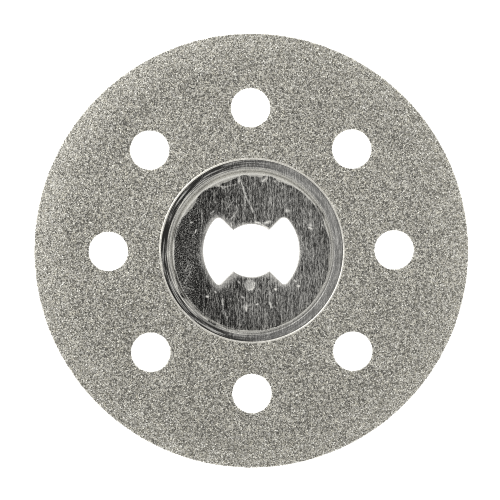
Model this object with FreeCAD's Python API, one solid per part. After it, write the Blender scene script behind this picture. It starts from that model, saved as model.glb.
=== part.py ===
"""A quick-change diamond cutting disc: a thin steel blank with a sunk hub, plated with diamond grit.

The spindle axis is Z. The flat underside of the sunk hub is at Z = 0, and the open side of
the recess faces up. The long way of the lock opening lies along X. Sizes are in millimetres.
"""

import FreeCAD, Part
import math
import os

Vector = FreeCAD.Vector

# The disc as a whole: its diameter is taken over the coating
disc_diameter = 38.0
sheet_thickness = 0.4
coating_thickness = 0.1
rim_bevel = 0.1

# The pressed recess, which sinks the hub below the cutting ring.
# Its mouth is where the wall's line would meet the ring's face, before the edge is broken.
recess_depth = 1.0
recess_mouth_diameter = 14.4
recess_wall_draft_deg = 22.0
mouth_bevel = 0.12
floor_corner_radius = 0.4
boss_root_bevel = 0.1

# Steel left bare between the recess and the coating, in front and behind
front_land_width = 0.8
back_land_width = 0.8

# The ring of vent holes, as open through the coating
vent_count = 8
vent_diameter = 3.4
vent_circle_diameter = 25.0

# The bow-tie opening that locks on the mandrel's head
lobe_diameter = 8.4
waist_diameter = 4.75
flank_angle_deg = 45.0
flank_offset = 0.15
lobe_corner_radius = 0.4

disc_radius = disc_diameter / 2
blank_radius = disc_radius - coating_thickness
ring_underside = recess_depth
ring_top = recess_depth + sheet_thickness
draft = math.radians(recess_wall_draft_deg)

# Where the pressed wall meets the flats, before its corners are rounded.
# The wall is one sheet thick, so its back lies that far outside its front.
mouth_radius = recess_mouth_diameter / 2
floor_radius = mouth_radius - recess_depth * math.tan(draft)
wall_across = sheet_thickness / math.cos(draft)
boss_root_at = mouth_radius - sheet_thickness * math.tan(draft) + wall_across
boss_foot_at = boss_root_at - recess_depth * math.tan(draft)


def rounded_profile(corners):
    """A closed face in the XZ plane. Each corner is (radius, height, rounding), joined by straight lines."""
    points = [Vector(radius, 0, height) for radius, height, _ in corners]
    edges = []
    trims = []
    for i, (_, _, rounding) in enumerate(corners):
        corner = points[i]
        if rounding == 0:
            trims.append((corner, corner))
            continue
        back = (points[i - 1] - corner).normalize()
        ahead = (points[(i + 1) % len(points)] - corner).normalize()
        half_angle = back.getAngle(ahead) / 2
        start = corner + back * (rounding / math.tan(half_angle))
        end = corner + ahead * (rounding / math.tan(half_angle))
        inwards = (back + ahead).normalize()
        middle = corner + inwards * (rounding / math.sin(half_angle) - rounding)
        edges.append(Part.Arc(start, middle, end).toShape())
        trims.append((start, end))
    for i, (start, _) in enumerate(trims):
        edges.append(Part.makeLine(trims[i - 1][1], start))
    return Part.Face(Part.Wire(Part.__sortEdges__(edges)))


def turned(profile):
    """The solid that a profile sweeps in one turn about the spindle axis."""
    return profile.revolve(Vector(0, 0, 0), Vector(0, 0, 1), 360)


def bar(radius, centre=Vector(0, 0, 0)):
    """A round cutter, long enough to pass through the whole disc."""
    reach = ring_top + coating_thickness
    return Part.makeCylinder(radius, 3 * reach, centre - Vector(0, 0, reach))


def vent_bars(radius):
    """The cutters of the vent holes, evenly spaced round the vent circle, the first on the X axis."""
    bars = []
    for i in range(vent_count):
        angle = 2 * math.pi * i / vent_count
        centre = Vector(math.cos(angle), math.sin(angle), 0) * (vent_circle_diameter / 2)
        bars.append(bar(radius, centre))
    return Part.makeCompound(bars)


def lock_opening_bar():
    """The cutter of the bow-tie opening: two lobes between sloping flanks, and a round waist.

    The lobes are what an hourglass outline leaves of a round bar. Its slopes are the flanks, which
    meet at `rise` above and below the centre, and it reaches well past the bar on both sides.
    """
    slope = math.tan(math.radians(flank_angle_deg))
    rise = flank_offset / math.cos(math.radians(flank_angle_deg))
    far = lobe_diameter
    far_rise = far * slope + rise
    outline = [
        (0, rise),
        (far, far_rise),
        (far, -far_rise),
        (0, -rise),
        (-far, -far_rise),
        (-far, far_rise),
        (0, rise),
    ]
    lobe_bar = bar(lobe_diameter / 2)
    low = lobe_bar.BoundBox.ZMin
    hourglass = Part.Face(Part.makePolygon([Vector(x, y, low) for x, y in outline]))
    lobes = lobe_bar.common(hourglass.extrude(Vector(0, 0, lobe_bar.BoundBox.ZLength)))
    tips = []
    for edge in lobes.Edges:
        upright = edge.BoundBox.ZLength > lobe_bar.BoundBox.ZLength / 2
        at_tip = math.hypot(edge.BoundBox.Center.x, edge.BoundBox.Center.y) > lobe_diameter / 4
        if upright and at_tip and abs(edge.BoundBox.Center.y) > rise:
            tips.append(edge)
    rounded_lobes = lobes.makeFillet(lobe_corner_radius, tips)
    return rounded_lobes.fuse(bar(waist_diameter / 2)).removeSplitter()


def steel_blank():
    """The sheet steel disc with its pressed recess, vent holes and lock opening."""
    section = rounded_profile([
        (0, 0, 0),
        (boss_foot_at, 0, floor_corner_radius + sheet_thickness),
        (boss_root_at - boss_root_bevel * math.tan(draft), ring_underside - boss_root_bevel, 0),
        (boss_root_at + boss_root_bevel, ring_underside, 0),
        (blank_radius, ring_underside, 0),
        (blank_radius, ring_top, 0),
        (mouth_radius + mouth_bevel, ring_top, 0),
        (mouth_radius - mouth_bevel * math.tan(draft), ring_top - mouth_bevel, 0),
        (floor_radius, sheet_thickness, floor_corner_radius),
        (0, sheet_thickness, 0),
    ])
    pressed = turned(section)
    vented = pressed.cut(vent_bars(vent_diameter / 2 + coating_thickness))
    return vented.cut(lock_opening_bar())


def diamond_coating(blank):
    """The plated layer: it covers both faces of the ring, its rim and the walls of its vent holes."""
    front_edge_at = mouth_radius + front_land_width
    back_edge_at = boss_root_at + back_land_width
    mid_sheet = ring_underside + sheet_thickness / 2
    underside = ring_underside - coating_thickness
    top = ring_top + coating_thickness
    section = rounded_profile([
        (back_edge_at, mid_sheet, 0),
        (back_edge_at, underside, 0),
        (disc_radius - rim_bevel, underside, 0),
        (disc_radius, underside + rim_bevel, 0),
        (disc_radius, top - rim_bevel, 0),
        (disc_radius - rim_bevel, top, 0),
        (front_edge_at, top, 0),
        (front_edge_at, mid_sheet, 0),
    ])
    envelope = turned(section).cut(vent_bars(vent_diameter / 2))
    return envelope.cut(blank)


def main():
    blank = steel_blank()
    nodes = {"steel_blank": blank, "diamond_coating": diamond_coating(blank)}
    os.makedirs("parts", exist_ok=True)
    for name, shape in nodes.items():
        (solid,) = shape.Solids
        solid.exportStep(f"parts/{name}.step")
        box = solid.optimalBoundingBox(True, False)
        print(name, "valid" if solid.isValid() else "not valid", f"volume {solid.Volume:.3f} mm3,",
              f"{box.XLength:.2f} x {box.YLength:.2f} x {box.ZLength:.2f} mm")


main()
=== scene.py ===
# %% [markdown]
# A diamond cutting disc, made in Blender.
# The real part is a steel disc as thin as card, 38 mm across. Its hub is pressed down into a
# shallow dish, a bow-tie opening is punched through the hub's floor, and the ring round it is
# plated with nickel that holds thousands of diamond crystals.
# The construction comes in ready made, in metres. This lesson dresses it: it builds the pressed
# steel, the nickel and the crystals again as finer surfaces, and gives each one its finish.

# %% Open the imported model
import bmesh
import bpy
import math
import numpy as np
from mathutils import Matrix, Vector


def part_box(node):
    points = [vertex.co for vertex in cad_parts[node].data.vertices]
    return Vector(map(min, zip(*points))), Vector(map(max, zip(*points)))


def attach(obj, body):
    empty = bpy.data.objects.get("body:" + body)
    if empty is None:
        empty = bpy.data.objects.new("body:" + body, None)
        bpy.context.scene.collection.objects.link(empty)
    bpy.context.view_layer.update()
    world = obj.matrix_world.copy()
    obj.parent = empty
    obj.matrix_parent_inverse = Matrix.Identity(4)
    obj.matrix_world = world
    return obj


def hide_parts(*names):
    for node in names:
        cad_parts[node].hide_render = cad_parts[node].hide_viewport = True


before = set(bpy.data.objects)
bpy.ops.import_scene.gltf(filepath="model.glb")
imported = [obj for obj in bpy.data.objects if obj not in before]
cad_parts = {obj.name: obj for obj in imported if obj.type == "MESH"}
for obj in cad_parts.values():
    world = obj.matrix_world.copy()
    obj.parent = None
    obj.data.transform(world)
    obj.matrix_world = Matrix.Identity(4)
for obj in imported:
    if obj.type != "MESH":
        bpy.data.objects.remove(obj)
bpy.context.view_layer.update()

# %% [markdown]
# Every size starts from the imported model, so that the finish fits the construction.
# Two boxes give four heights and two radii. The coating is the gap between the steel's top and
# the coating's top, and the steel is one sheet, so its thickness is the same in hub and ring.

# %% Sizes read from the model
MM = 0.001

_, steel_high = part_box("steel_blank")
coat_low, coat_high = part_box("diamond_coating")

disc_radius = coat_high.x
blank_radius = steel_high.x
coat_top = coat_high.z
coat_bottom = coat_low.z
ring_top = steel_high.z
coating = coat_top - ring_top
ring_underside = coat_bottom + coating
sheet = ring_top - ring_underside
print("disc radius", disc_radius, "sheet", round(sheet / MM, 3), "mm, coating", round(coating / MM, 3), "mm")

# %% [markdown]
# The rest are the driving sizes of the pressed recess, the vent holes and the opening.
# They are the same sizes that the construction was drawn with.

# %% Sizes of the recess, the vents and the opening
draft = math.radians(22.0)
mouth_radius = 7.2 * MM
bend_radius = 0.4 * MM
root_break = 0.1 * MM
front_edge_radius = 8.0 * MM
back_edge_radius = 8.27 * MM

vent_count = 8
vent_radius = 1.7 * MM
vent_circle_radius = 12.5 * MM
vent_angles = 2 * np.pi * np.arange(vent_count) / vent_count
vent_centres = vent_circle_radius * np.stack([np.cos(vent_angles), np.sin(vent_angles)], axis=1)

lobe_radius = 4.2 * MM
waist_radius = 2.375 * MM
waist_apex = 2.31 * MM
flank_offset = 0.15 * MM
upper_tip_radius = 0.48 * MM
lower_tip_radius = 0.3 * MM

floor_edge_radius = mouth_radius - (ring_top - sheet) * math.tan(draft)
bend_centre_radius = floor_edge_radius - bend_radius * math.tan(math.radians(45) - draft / 2)
print("the flat floor ends at", round(bend_centre_radius / MM, 3), "mm")

# %% [markdown]
# Every surface here is a grid of points worked out as one array: its rows go along a profile
# and its columns go once round something, the disc's axis or a vent hole. A piece is a few such
# grids sewn together where their edges meet. Working in whole arrays keeps a fine mesh quick to
# make, and a form that is a formula can be changed by changing a number.

# %% Grids, and how they become one mesh
columns_per_sector = 64
columns = columns_per_sector * vent_count
turn = 2 * np.pi * (np.arange(columns) / columns - 0.5 / vent_count)
around = np.stack([np.cos(turn), np.sin(turn)], axis=1)


def ring_grid(profile):
    """Point (i, j) is profile point i, (radius, height), carried to the angle of column j about Z.

    The profile is one list of points for all columns, or a list of its own for each column.
    """
    profile = np.asarray(profile)
    if profile.ndim == 2:
        profile = profile[:, None, :]
    flat = profile[..., :1] * around[None, :, :]
    height = np.broadcast_to(profile[..., 1:], flat.shape[:2] + (1,))
    return np.concatenate([flat, height], axis=2)


def grid_faces(rows, width, first):
    """Quad (i, j) joins rows i and i + 1 at columns j and j + 1, and the last column meets the first."""
    i = np.arange(rows - 1)[:, None] * width
    j = np.arange(width)[None, :]
    after = (j + 1) % width
    quads = np.stack([i + j, i + after, i + width + after, i + width + j], axis=-1)
    return first + quads.reshape(-1, 4)


def mesh_of(name, points, faces):
    """A mesh from an array of points and an array of faces that all have the same number of corners."""
    mesh = bpy.data.meshes.new(name)
    mesh.vertices.add(len(points))
    mesh.vertices.foreach_set("co", points.astype(np.float32).ravel())
    mesh.loops.add(faces.size)
    mesh.loops.foreach_set("vertex_index", faces.astype(np.int32).ravel())
    mesh.polygons.add(len(faces))
    mesh.polygons.foreach_set("loop_start", np.arange(0, faces.size, faces.shape[1], dtype=np.int32))
    mesh.update(calc_edges=True)
    return mesh


def place_piece(mesh, material_slot, *stands_for):
    """Puts a finished mesh in the scene: its object sits at the origin and rides on the disc's one body."""
    piece = bpy.data.objects.new(mesh.name, mesh)
    bpy.context.scene.collection.objects.link(piece)
    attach(piece, "root")
    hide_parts(*stands_for)
    mesh.calc_loop_triangles()
    print(mesh.name, len(mesh.loop_triangles), "triangles")
    return piece


same_place = 0.0002 * MM
sharp_fold = math.radians(40)


def sewn_mesh(name, grids):
    """One closed mesh from many grids: points that share a place are merged, then faces turn outwards."""
    points = []
    faces = []
    first = 0
    for grid in grids:
        rows, width = grid.shape[:2]
        points.append(grid.reshape(-1, 3))
        faces.append(grid_faces(rows, width, first))
        first += rows * width
    mesh = mesh_of(name, np.concatenate(points), np.concatenate(faces))
    sewing = bmesh.new()
    sewing.from_mesh(mesh)
    bmesh.ops.remove_doubles(sewing, verts=sewing.verts, dist=same_place)
    bmesh.ops.recalc_face_normals(sewing, faces=sewing.faces)
    open_edges = sum(not edge.is_manifold for edge in sewing.edges)
    sewing.to_mesh(mesh)
    sewing.free()
    mesh.shade_smooth()
    mesh.set_sharp_from_angle(angle=sharp_fold)
    print(name, "has", len(mesh.polygons), "faces and", open_edges, "open edges")
    return mesh


def arc(centre, radius, start_deg, end_deg, count):
    """Points at even angles along an arc: centre + radius * (cos angle, sin angle)."""
    angle = np.radians(np.linspace(start_deg, end_deg, count))
    return np.asarray(centre) + radius * np.stack([np.cos(angle), np.sin(angle)], axis=1)


print(columns, "columns round the axis")

# %% [markdown]
# The camera looks straight down, from far off through a long lens, so that the disc shows no
# perspective. It is set before anything else is made, because all that follows is judged
# through it.

# %% The camera
frame_width = 43.72 * MM
camera_distance = 0.5
picture_roll = math.radians(-0.3)
picture_shift = (-0.11 * MM, 0.055 * MM)

camera_data = bpy.data.cameras.new("long_lens")
camera_data.type = "PERSP"
camera_data.sensor_width = 36.0
camera_data.lens = camera_data.sensor_width * camera_distance / frame_width
camera_data.clip_start = 0.05
camera_data.clip_end = 5.0
camera = bpy.data.objects.new("camera", camera_data)
camera.location = (*picture_shift, ring_top + camera_distance)
camera.rotation_euler = (0.0, 0.0, picture_roll)
bpy.context.scene.collection.objects.link(camera)
bpy.context.scene.camera = camera
print("lens", round(camera_data.lens, 1), "mm")

# %% [markdown]
# The bow-tie opening is what the mandrel's head locks into. Its outline is four arcs and four
# straight flanks, with a small arc at each tip. A quarter of it is enough, because the rest are
# its mirror images, though the upper tips are rounder than the lower ones: the punch is worn.
# Each stretch gets a whole number of points, so that every corner falls on a point, and together
# they are a quarter of the columns.

# %% The opening's outline
stretch_points = (56, 14, 30, 28)
flank_turn = math.radians(45)


def quarter_outline(tip_radius):
    """The outline from the X axis up to the Y axis: lobe arc, tip arc, flank and waist arc.

    The tip's arc touches the lobe's arc from inside and the flank: its centre is at the angle whose
    cosine, 45 degrees on, is (tip radius - flank offset) / (lobe radius - tip radius).
    """
    lean = math.acos((tip_radius - flank_offset) / (lobe_radius - tip_radius)) - flank_turn
    tip_centre = (lobe_radius - tip_radius) * np.array([math.cos(lean), math.sin(lean)])
    lobe = arc((0, 0), lobe_radius, 0, math.degrees(lean), stretch_points[0] + 1)
    tip = arc(tip_centre, tip_radius, math.degrees(lean), 135, stretch_points[1] + 1)
    rise = flank_offset / math.cos(flank_turn)
    corner_x = (math.sqrt(2 * waist_radius**2 - rise**2) - rise) / 2
    corner = np.array([corner_x, corner_x + rise])
    flank = np.linspace(tip[-1], corner, stretch_points[2] + 1)
    sag = waist_apex - corner[1]
    bow = (corner_x**2 + sag**2) / (2 * sag)
    corner_deg = math.degrees(math.asin((corner[1] - waist_apex + bow) / bow))
    waist = arc((0, waist_apex - bow), bow, corner_deg, 90, stretch_points[3] + 1)
    return np.concatenate([lobe[:-1], tip[:-1], flank[:-1], waist[:-1]])


def opening_outline():
    """The whole outline, counter-clockwise, one point for each column: each quarter mirrored in turn."""
    upper = quarter_outline(upper_tip_radius)
    lower = quarter_outline(lower_tip_radius)
    top_left = np.roll(upper[::-1], 1, axis=0) * (-1, 1)
    top_left[0] = (0, waist_apex)
    low_right = np.roll(lower[::-1], 1, axis=0) * (1, -1)
    low_right[0] = (0, -waist_apex)
    whole = np.concatenate([upper, top_left, lower * (-1, -1), low_right])
    return np.roll(whole, columns_per_sector // 2, axis=0)


outline = opening_outline()
along = np.roll(outline, -1, axis=0) - np.roll(outline, 1, axis=0)
outline_normal = np.stack([along[:, 1], -along[:, 0]], axis=1) / np.linalg.norm(along, axis=1)[:, None]
print("opening", np.round(np.ptp(outline, axis=0) / MM, 2), "mm")

# %% [markdown]
# The steel blank was one flat sheet before the press. A section through it has two skins one
# sheet apart, with a bend at the floor and a sharper one at the mouth.
# The punch sat a little off centre in the die. On one side it drew the floor's bend wide and soft,
# and on the other it pressed it tight into the corner, so the bend is two sections, and each
# column takes its share of both by its angle.
# The mouth also has a fine coined step round it. It is only a tenth of a millimetre deep, but
# steel mirrors its surroundings, and a step like this shows as a pair of thin lines. Its outer edge
# sat off centre too, so the step is wider on one side: its points slide outwards there.

# %% The steel's section
coin_depth = 0.12 * MM
coin_shelf = 0.06 * MM
coin_inner_radius = 7.16 * MM
coin_outer_radius = 7.30 * MM
lip_radius = 0.04 * MM
inner_wall_deg = -math.degrees(draft)
bend_points = 12
tight_floor_edge = 7.0 * MM
tight_bend_radius = 0.1 * MM
tight_wall_deg = 0.4 * inner_wall_deg
tight_side = math.radians(-70)
tight_share = 0.5 + 0.5 * np.cos(turn - tight_side)
floor_edge = bend_centre_radius + (tight_floor_edge - bend_centre_radius) * tight_share
coin_drift = 0.06 * MM
coin_side = math.radians(215)
coin_middle = coin_drift * np.array([math.cos(coin_side), math.sin(coin_side)])
coin_slide = coin_drift * (1 + np.cos(turn - coin_side))


def wall_point(height, across):
    """A point on the pressed wall at this height, or that far outside it for the back."""
    return np.array([mouth_radius - (ring_top - height) * math.tan(draft) + across, height])


def front_section():
    """From the flat floor outwards: floor bend, wall, the coined step's two rounded lips, the bare ledge.

    The bend of each column is (1 - share) * the soft bend + share * the tight one. The step's outer
    edge slides out whole, and the ledge takes up the slide by its end.
    """
    soft = arc((bend_centre_radius, sheet + bend_radius), bend_radius, -90, inner_wall_deg, bend_points)
    tight_centre = (tight_floor_edge, sheet + tight_bend_radius)
    tight = arc(tight_centre, tight_bend_radius, -90, tight_wall_deg, bend_points)
    share = tight_share[None, :, None]
    bend = (1 - share) * soft[:, None, :] + share * tight[:, None, :]
    shelf = ring_top - coin_depth + coin_shelf
    first_lip = arc((coin_inner_radius, shelf - lip_radius), lip_radius, 180 + inner_wall_deg, 90, 5)
    foot = arc((coin_outer_radius - 2 * lip_radius, shelf + lip_radius / 2), lip_radius / 2, -90, -20, 3)
    second_lip = arc((coin_outer_radius, ring_top - lip_radius), lip_radius, 160, 90, 5)
    ledge = np.linspace((coin_outer_radius + lip_radius, ring_top), (back_edge_radius, ring_top), 6)
    rest = np.concatenate([first_lip, foot, second_lip, ledge])
    stations = (coin_inner_radius, foot[0][0], ledge[0][0], back_edge_radius)
    slide = np.interp(rest[:, 0], stations, (0, 1, 1, 0))[:, None] * coin_slide
    rest = np.stack([rest[:, :1] + slide, np.broadcast_to(rest[:, 1:], slide.shape)], axis=-1)
    return np.concatenate([bend, rest])


def back_section():
    """The same from below: the boss's flat, its outer bend, the wall, its root and the back of the ring."""
    centre = (bend_centre_radius, sheet + bend_radius)
    boss_bend = arc(centre, bend_radius + sheet, -90, inner_wall_deg, bend_points)
    across = sheet / math.cos(draft)
    root_foot = wall_point(ring_underside - root_break, across)
    root_head = (wall_point(ring_underside, across)[0] + root_break, ring_underside)
    return np.concatenate([boss_bend, [root_foot, root_head, (back_edge_radius, ring_underside)]])


print("front section", len(front_section()), "points, back section", len(back_section()), "points")

# %% [markdown]
# Between the bow-tie and the round bend, the floor's grid has to change shape. Each column slides
# along a straight line from its point on the outline to its point on the circle, so the mesh
# flows from one form into the other without a seam. The round dimple is a press mark: its depth
# falls off as a smooth bell.
# Both edges of the opening are rolled over by the punch, which is why they catch the light.

# %% The hub between the opening and the bend
edge_roll = 0.1 * MM
burr_roll = 0.03 * MM
dimple_centre = np.array([-0.16, -2.99]) * MM
dimple_radius = 0.45 * MM
dimple_depth = 0.03 * MM
floor_wave = 0.004 * MM
wave_across = 0.9 * MM
wave_along = 1.3 * MM
wave_slanting = 2.1 * MM
wave_phase = 1.3
calm_border = 0.8 * MM
roll_points = 5
floor_rows = 72
boss_rows = 8


def opening_rows(heights, offsets):
    """The outline at each of these heights, pushed out along its normal by each of these offsets."""
    flat = outline[None, :, :] + np.asarray(offsets)[:, None, None] * outline_normal[None, :, :]
    height = np.broadcast_to(np.asarray(heights)[:, None, None], flat.shape[:2] + (1,))
    return np.concatenate([flat, height], axis=2)


def blend_rows(start, radius, height, count):
    """Rows (1 - s) * start + s * ring, for s from 0 to 1. The ring's radius may differ by column."""
    share = np.linspace(0, 1, count)[:, None, None]
    ring = ring_grid(np.stack(np.broadcast_arrays(radius, np.full(columns, height)), axis=1)[None])
    return (1 - share) * start[None] + share * ring


def dimpled(grid):
    """The floor with its dimple and its slight waves, both as depth taken off the height."""
    x, y, z = np.moveaxis(grid, 2, 0)
    away = np.hypot(x - dimple_centre[0], y - dimple_centre[1]) / dimple_radius
    wave = np.sin(x / wave_across + wave_phase) * np.sin(y / wave_along) + np.sin((x + y) / wave_slanting)
    calm = np.clip((bend_centre_radius - np.hypot(x, y)) / calm_border, 0, 1)
    sunk = dimple_depth * np.exp(-(away**4)) + floor_wave * (1 + 0.5 * wave) * calm
    return np.stack([x, y, z - sunk], axis=2)


def hub_grids():
    """The hub's front floor, the wall of its opening and its back, as far as the bend on each side."""
    roll = np.linspace(0, np.pi / 2, roll_points)
    top = opening_rows(sheet - edge_roll * (1 - np.sin(roll)), edge_roll * (1 - np.cos(roll)))
    bottom = opening_rows(burr_roll * (1 - np.sin(roll)), burr_roll * (1 - np.cos(roll)))
    wall = np.stack([bottom[0], top[0]])
    floor = blend_rows(top[-1], floor_edge, sheet, floor_rows)
    back = blend_rows(bottom[-1], bend_centre_radius, 0.0, boss_rows)
    floor[1:-1] = dimpled(floor[1:-1])
    return [top, bottom, wall, floor, back]


print("hub floor", hub_grids()[3].shape)

# %% [markdown]
# The ring is flat but pierced by eight holes, so plain rings of points don't fit it. It is cut
# into eight sectors, one to a hole. In a sector the columns go round its own hole, and each one
# slides outwards from the hole to the sector's border: an outer arc, a straight side, an inner
# arc and another side. Neighbours share the points on their sides, so they sew up exactly.

# %% Sectors of the ring
side_columns = 24


def sector_border(inner, outer):
    """One sector's border about the X axis, counter-clockwise, without its last point."""
    half = np.pi / vent_count
    swing = np.linspace(-half, half, columns_per_sector + 1)
    reach = np.linspace(outer, inner, side_columns + 1)
    outer_arc = outer * np.stack([np.cos(swing), np.sin(swing)], axis=1)
    inner_arc = inner * np.stack([np.cos(-swing), np.sin(-swing)], axis=1)
    far_side = reach[:, None] * np.array([math.cos(half), math.sin(half)])
    near_side = reach[::-1, None] * np.array([math.cos(half), -math.sin(half)])
    return np.concatenate([outer_arc[:-1], far_side[:-1], inner_arc[:-1], near_side[:-1]])


def turned_to(points, angle):
    """Points turned about Z: (x cos - y sin, x sin + y cos)."""
    x, y = points[..., 0], points[..., 1]
    turned = [x * math.cos(angle) - y * math.sin(angle), x * math.sin(angle) + y * math.cos(angle)]
    return np.stack(turned + [points[..., 2]], axis=-1)


def vent_rows(profile):
    """Rows of points round the vent on the X axis: profile point (radius, height) towards each column."""
    border = sector_border(front_edge_radius, disc_radius)
    out = border - (vent_circle_radius, 0)
    out = out / np.linalg.norm(out, axis=1)[:, None]
    profile = np.asarray(profile)
    flat = profile[:, None, :1] * out[None] + (vent_circle_radius, 0)
    height = np.broadcast_to(profile[:, None, 1:], flat.shape[:2] + (1,))
    return np.concatenate([flat, height], axis=2)


def sector_rows(hole_row, inner, outer, height, count):
    """Rows (1 - s) * hole + s * border, for s from 0 to 1."""
    border = sector_border(inner, outer)
    border = np.concatenate([border, np.full((len(border), 1), height)], axis=1)
    share = np.linspace(0, 1, count)[:, None, None]
    return (1 - share) * hole_row[None] + share * border[None]


def pierced_ring(vent_profile, rim_profile, inner_front, inner_back, count):
    """A ring's front, back, rim and vent walls. Both profiles are (radius, height) from front to back."""
    vent = vent_rows(vent_profile)
    front = sector_rows(vent[0], inner_front, rim_profile[0][0], vent_profile[0][1], count)
    back = sector_rows(vent[-1], inner_back, rim_profile[-1][0], vent_profile[-1][1], count)
    grids = [ring_grid(rim_profile)]
    for angle in vent_angles:
        grids += [turned_to(grid, angle) for grid in (vent, front, back)]
    return grids


print("a sector has", len(sector_border(front_edge_radius, disc_radius)), "columns")

# %% [markdown]
# Wear isn't spread evenly over a surface, so some of it is placed one by one. The steel carries two numbers
# at each of its points: how much it is rubbed pale by the edge of the opening, where the mandrel's head goes
# in and out, and how much by a scratch or a knock.
# Both fall off as a smooth bell with the distance. For a scratch that is the distance to a line between two
# marks. The second number also carries the dimple's dull floor and a painted highlight along the dimple's
# lower right edge.

# %% Wear on the hub
rubbed_least = 0.14 * MM
rubbed_left = 0.27 * MM
rubbed_corner = 0.34 * MM
corner_turns = np.radians([-53, -127])
corner_spread = math.radians(10)
dull_radius = 1.1 * dimple_radius
dull_share = 0.5
crescent_radius = 0.95 * dimple_radius
crescent_width = 0.08 * MM
crescent_way = (0.35, -0.94)
dimple_heart = 0.1 * MM
scratch_gain = 1.25
scratches = np.array([
    [-0.95, 6.30, -0.50, 4.90, 0.06, 0.6],
    [-0.50, 4.90, 0.10, 3.60, 0.05, 0.6],
    [-0.55, 4.90, -0.65, 2.70, 0.07, 0.35],
    [-1.05, 6.05, -1.00, 6.35, 0.11, 0.8],
    [-2.90, 5.70, -2.30, 5.58, 0.05, 0.6],
    [-2.30, 5.58, -1.00, 5.90, 0.04, 0.5],
    [-2.55, 5.62, -2.45, 5.45, 0.08, 0.6],
    [-2.00, 3.80, -1.50, 4.45, 0.04, 0.5],
    [-1.85, 2.75, -1.45, 3.05, 0.04, 0.5],
    [-1.78, 2.40, -1.70, 2.20, 0.07, 0.8],
    [-5.28, 2.50, -5.18, 2.50, 0.07, 1.0],
    [-4.90, 1.60, -4.82, 1.85, 0.05, 0.9],
    [-4.32, 3.60, -4.30, 2.50, 0.05, 0.5],
    [-3.55, 3.25, -3.25, 3.50, 0.05, 0.6],
    [1.05, 6.10, 1.40, 6.35, 0.09, 0.7],
    [2.10, 6.10, 2.12, 6.00, 0.06, 0.7],
    [2.80, 5.65, 2.75, 5.45, 0.06, 0.6],
    [3.10, 3.45, 3.25, 3.45, 0.13, 0.6],
    [0.05, 3.65, 0.15, 3.40, 0.09, 0.6],
    [0.40, 2.48, 0.75, 2.42, 0.10, 0.8],
    [1.20, 2.40, 1.65, 2.55, 0.12, 0.7],
    [1.00, 2.20, 1.50, 1.95, 0.07, 0.9],
    [5.02, 2.00, 5.30, 1.92, 0.07, 1.0],
    [5.05, 2.25, 5.25, 2.20, 0.14, 0.5],
    [6.22, 2.22, 6.26, 2.18, 0.06, 0.9],
    [-5.95, -2.90, -5.35, -1.85, 0.05, 0.4],
    [-5.45, -1.80, -5.05, -1.00, 0.05, 0.3],
    [-5.75, -1.70, -5.45, -1.00, 0.04, 0.4],
    [-5.95, -3.15, -5.00, -3.40, 0.05, 0.35],
    [-3.95, -4.00, -3.82, -4.02, 0.08, 0.8],
    [-3.18, -3.55, -3.12, -3.65, 0.07, 0.7],
    [-2.52, -4.20, -2.48, -5.50, 0.04, 0.6],
    [-2.35, -5.30, -2.20, -5.90, 0.04, 0.7],
    [-0.80, -4.05, -0.72, -4.12, 0.07, 0.8],
    [-0.48, -4.95, -0.46, -5.25, 0.07, 1.0],
    [-0.70, -4.90, -0.30, -4.80, 0.12, 0.4],
    [-1.14, -2.70, -1.06, -2.82, 0.09, 0.9],
    [2.08, -3.38, 2.14, -3.44, 0.08, 0.9],
    [4.08, -3.12, 4.18, -3.14, 0.08, 0.9],
    [3.75, -2.60, 3.90, -2.75, 0.06, 0.7],
    [1.62, -4.60, 1.76, -5.00, 0.08, 0.8],
    [0.40, -4.72, 0.55, -4.68, 0.07, 0.7],
])


def bell(distance, width):
    """exp(-(distance / width)^2): 1 at no distance, a third at the width, almost nothing at twice that."""
    return np.exp(-((distance / width) ** 2))


def nearest_column(points):
    """The outline point q that is nearest to each point p: the one with the least |q|^2 - 2 p.q."""
    return np.argmin((outline**2).sum(axis=1) - 2 * points @ outline.T, axis=1)


def rubbed(points):
    """How much the opening's edge is rubbed at each point. The rubbed strip's width goes with the angle."""
    nearest = nearest_column(points)
    distance = np.linalg.norm(points - outline[nearest], axis=1)
    heading = np.arctan2(outline[nearest, 1], outline[nearest, 0])
    width = rubbed_least + rubbed_left * np.clip(-np.cos(heading), 0, 1)
    for corner_turn in corner_turns:
        width = width + rubbed_corner * bell(heading - corner_turn, corner_spread)
    return bell(distance, width)


def scratched(points):
    """The strongest of all scratches. Each is two marks and a width in millimetres, and a strength."""
    most = np.zeros(len(points))
    for x0, y0, x1, y1, width, strength in scratches * (MM, MM, MM, MM, MM, scratch_gain):
        start = np.array([x0, y0])
        span = np.array([x1, y1]) - start
        share = np.clip((points - start) @ span / (span @ span), 0, 1)
        away = points - start - share[:, None] * span
        most = np.maximum(most, strength * bell(np.linalg.norm(away, axis=1), width))
    return np.minimum(most, 1)


def dimple_shine(points):
    """The dimple's dull floor, with a painted highlight: a bright crescent along its lower right edge."""
    away = points - dimple_centre
    distance = np.linalg.norm(away, axis=1)
    floor = dull_share * np.exp(-((distance / dull_radius) ** 8))
    low_right = np.clip((away @ crescent_way) / np.maximum(distance, dimple_heart), 0, 1)
    return np.maximum(floor, low_right * bell(distance - crescent_radius, crescent_width))


def point_attribute(mesh, name, values):
    """Stores one number for each point of a mesh."""
    mesh.attributes.new(name, "FLOAT", "POINT").data.foreach_set("value", values.astype(np.float32))


print(len(scratches), "scratches")
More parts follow.
